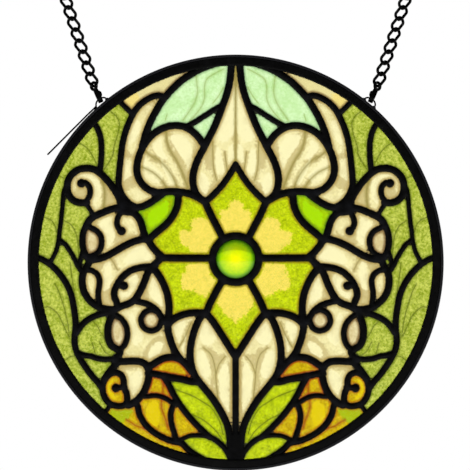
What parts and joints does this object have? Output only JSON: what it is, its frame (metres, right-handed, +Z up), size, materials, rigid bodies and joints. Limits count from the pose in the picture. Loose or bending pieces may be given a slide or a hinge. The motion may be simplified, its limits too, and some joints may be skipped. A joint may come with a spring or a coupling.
{
  "type": "stained glass suncatcher",
  "caption": "Round leaded stained glass panel with a mirrored flower of petals, scrolls and leaves round a domed jewel, in a channel rim, hung from short chains with clasps and rings.",
  "frame": {"origin": "midway between the two points where the top rings rest on their hooks", "axes": "+X to the viewer's right, +Y from the front face to the back, +Z up"},
  "size_m": [0.2, 0.0085, 0.2376],
  "materials": {
    "black_rim_metal": "black, satin",
    "black_patina_lead": "black patina on lead, dull",
    "blackened_wire": "blackened, satin",
    "mint_glass": "mint art glass, see-through",
    "straw_glass": "straw art glass, see-through",
    "cream_glass": "cream art glass, see-through",
    "olive_glass": "olive art glass, see-through",
    "green_glass": "green art glass, see-through",
    "lime_glass": "lime art glass, see-through",
    "lime_honey_glass": "lime honey art glass, see-through",
    "amber_glass": "amber art glass, see-through",
    "jewel_glass": "jewel art glass, see-through"
  },
  "bodies": {
    "root": {"rim": "black_rim_metal", "leading": "black_patina_lead", "glass_jewel": "jewel_glass", "glass_mint_leaf_left": "mint_glass", "glass_mint_leaf_right": "mint_glass", "glass_top_sliver_left": "straw_glass", "glass_top_sliver_right": "straw_glass", "glass_crescent_left": "cream_glass", "glass_crescent_right": "cream_glass", "glass_shell_left": "cream_glass", "glass_shell_right": "cream_glass", "glass_upper_scroll_left": "cream_glass", "glass_upper_scroll_right": "cream_glass", "glass_pod_left": "green_glass", "glass_pod_right": "green_glass", "glass_upper_petal_left": "lime_honey_glass", "glass_upper_petal_right": "lime_honey_glass", "glass_olive_shoulder_left": "olive_glass", "glass_olive_shoulder_right": "olive_glass", "glass_olive_middle_left": "olive_glass", "glass_olive_middle_right": "olive_glass", "glass_middle_scroll_left": "cream_glass", "glass_middle_scroll_right": "cream_glass", "glass_lower_scroll_left": "cream_glass", "glass_lower_scroll_right": "cream_glass", "glass_lower_petal_left": "lime_honey_glass", "glass_lower_petal_right": "lime_honey_glass", "glass_olive_flank_left": "olive_glass", "glass_olive_flank_right": "olive_glass", "glass_fin_left": "cream_glass", "glass_fin_right": "cream_glass", "glass_bottom_scroll_left": "cream_glass", "glass_bottom_scroll_right": "cream_glass", "glass_olive_leaf_left": "olive_glass", "glass_olive_leaf_right": "olive_glass", "glass_small_sepal_left": "cream_glass", "glass_small_sepal_right": "cream_glass", "glass_large_sepal_left": "cream_glass", "glass_large_sepal_right": "cream_glass", "glass_teardrop_left": "cream_glass", "glass_teardrop_right": "cream_glass", "glass_bean_left": "amber_glass", "glass_bean_right": "amber_glass", "glass_amber_cluster_left": "amber_glass", "glass_amber_cluster_right": "amber_glass", "glass_lime_leaf_left": "lime_glass", "glass_lime_leaf_right": "lime_glass", "glass_border_strip_left": "amber_glass", "glass_border_strip_right": "amber_glass", "glass_spire": "cream_glass", "glass_top_petal": "lime_honey_glass", "glass_bottom_petal": "lime_honey_glass", "hanging_loop_left": "blackened_wire", "clasp_left": "blackened_wire", "chain_left": "blackened_wire", "top_ring_left": "blackened_wire", "hanging_loop_right": "blackened_wire", "clasp_right": "blackened_wire", "chain_right": "blackened_wire", "top_ring_right": "blackened_wire"}
  },
  "joints": []
}
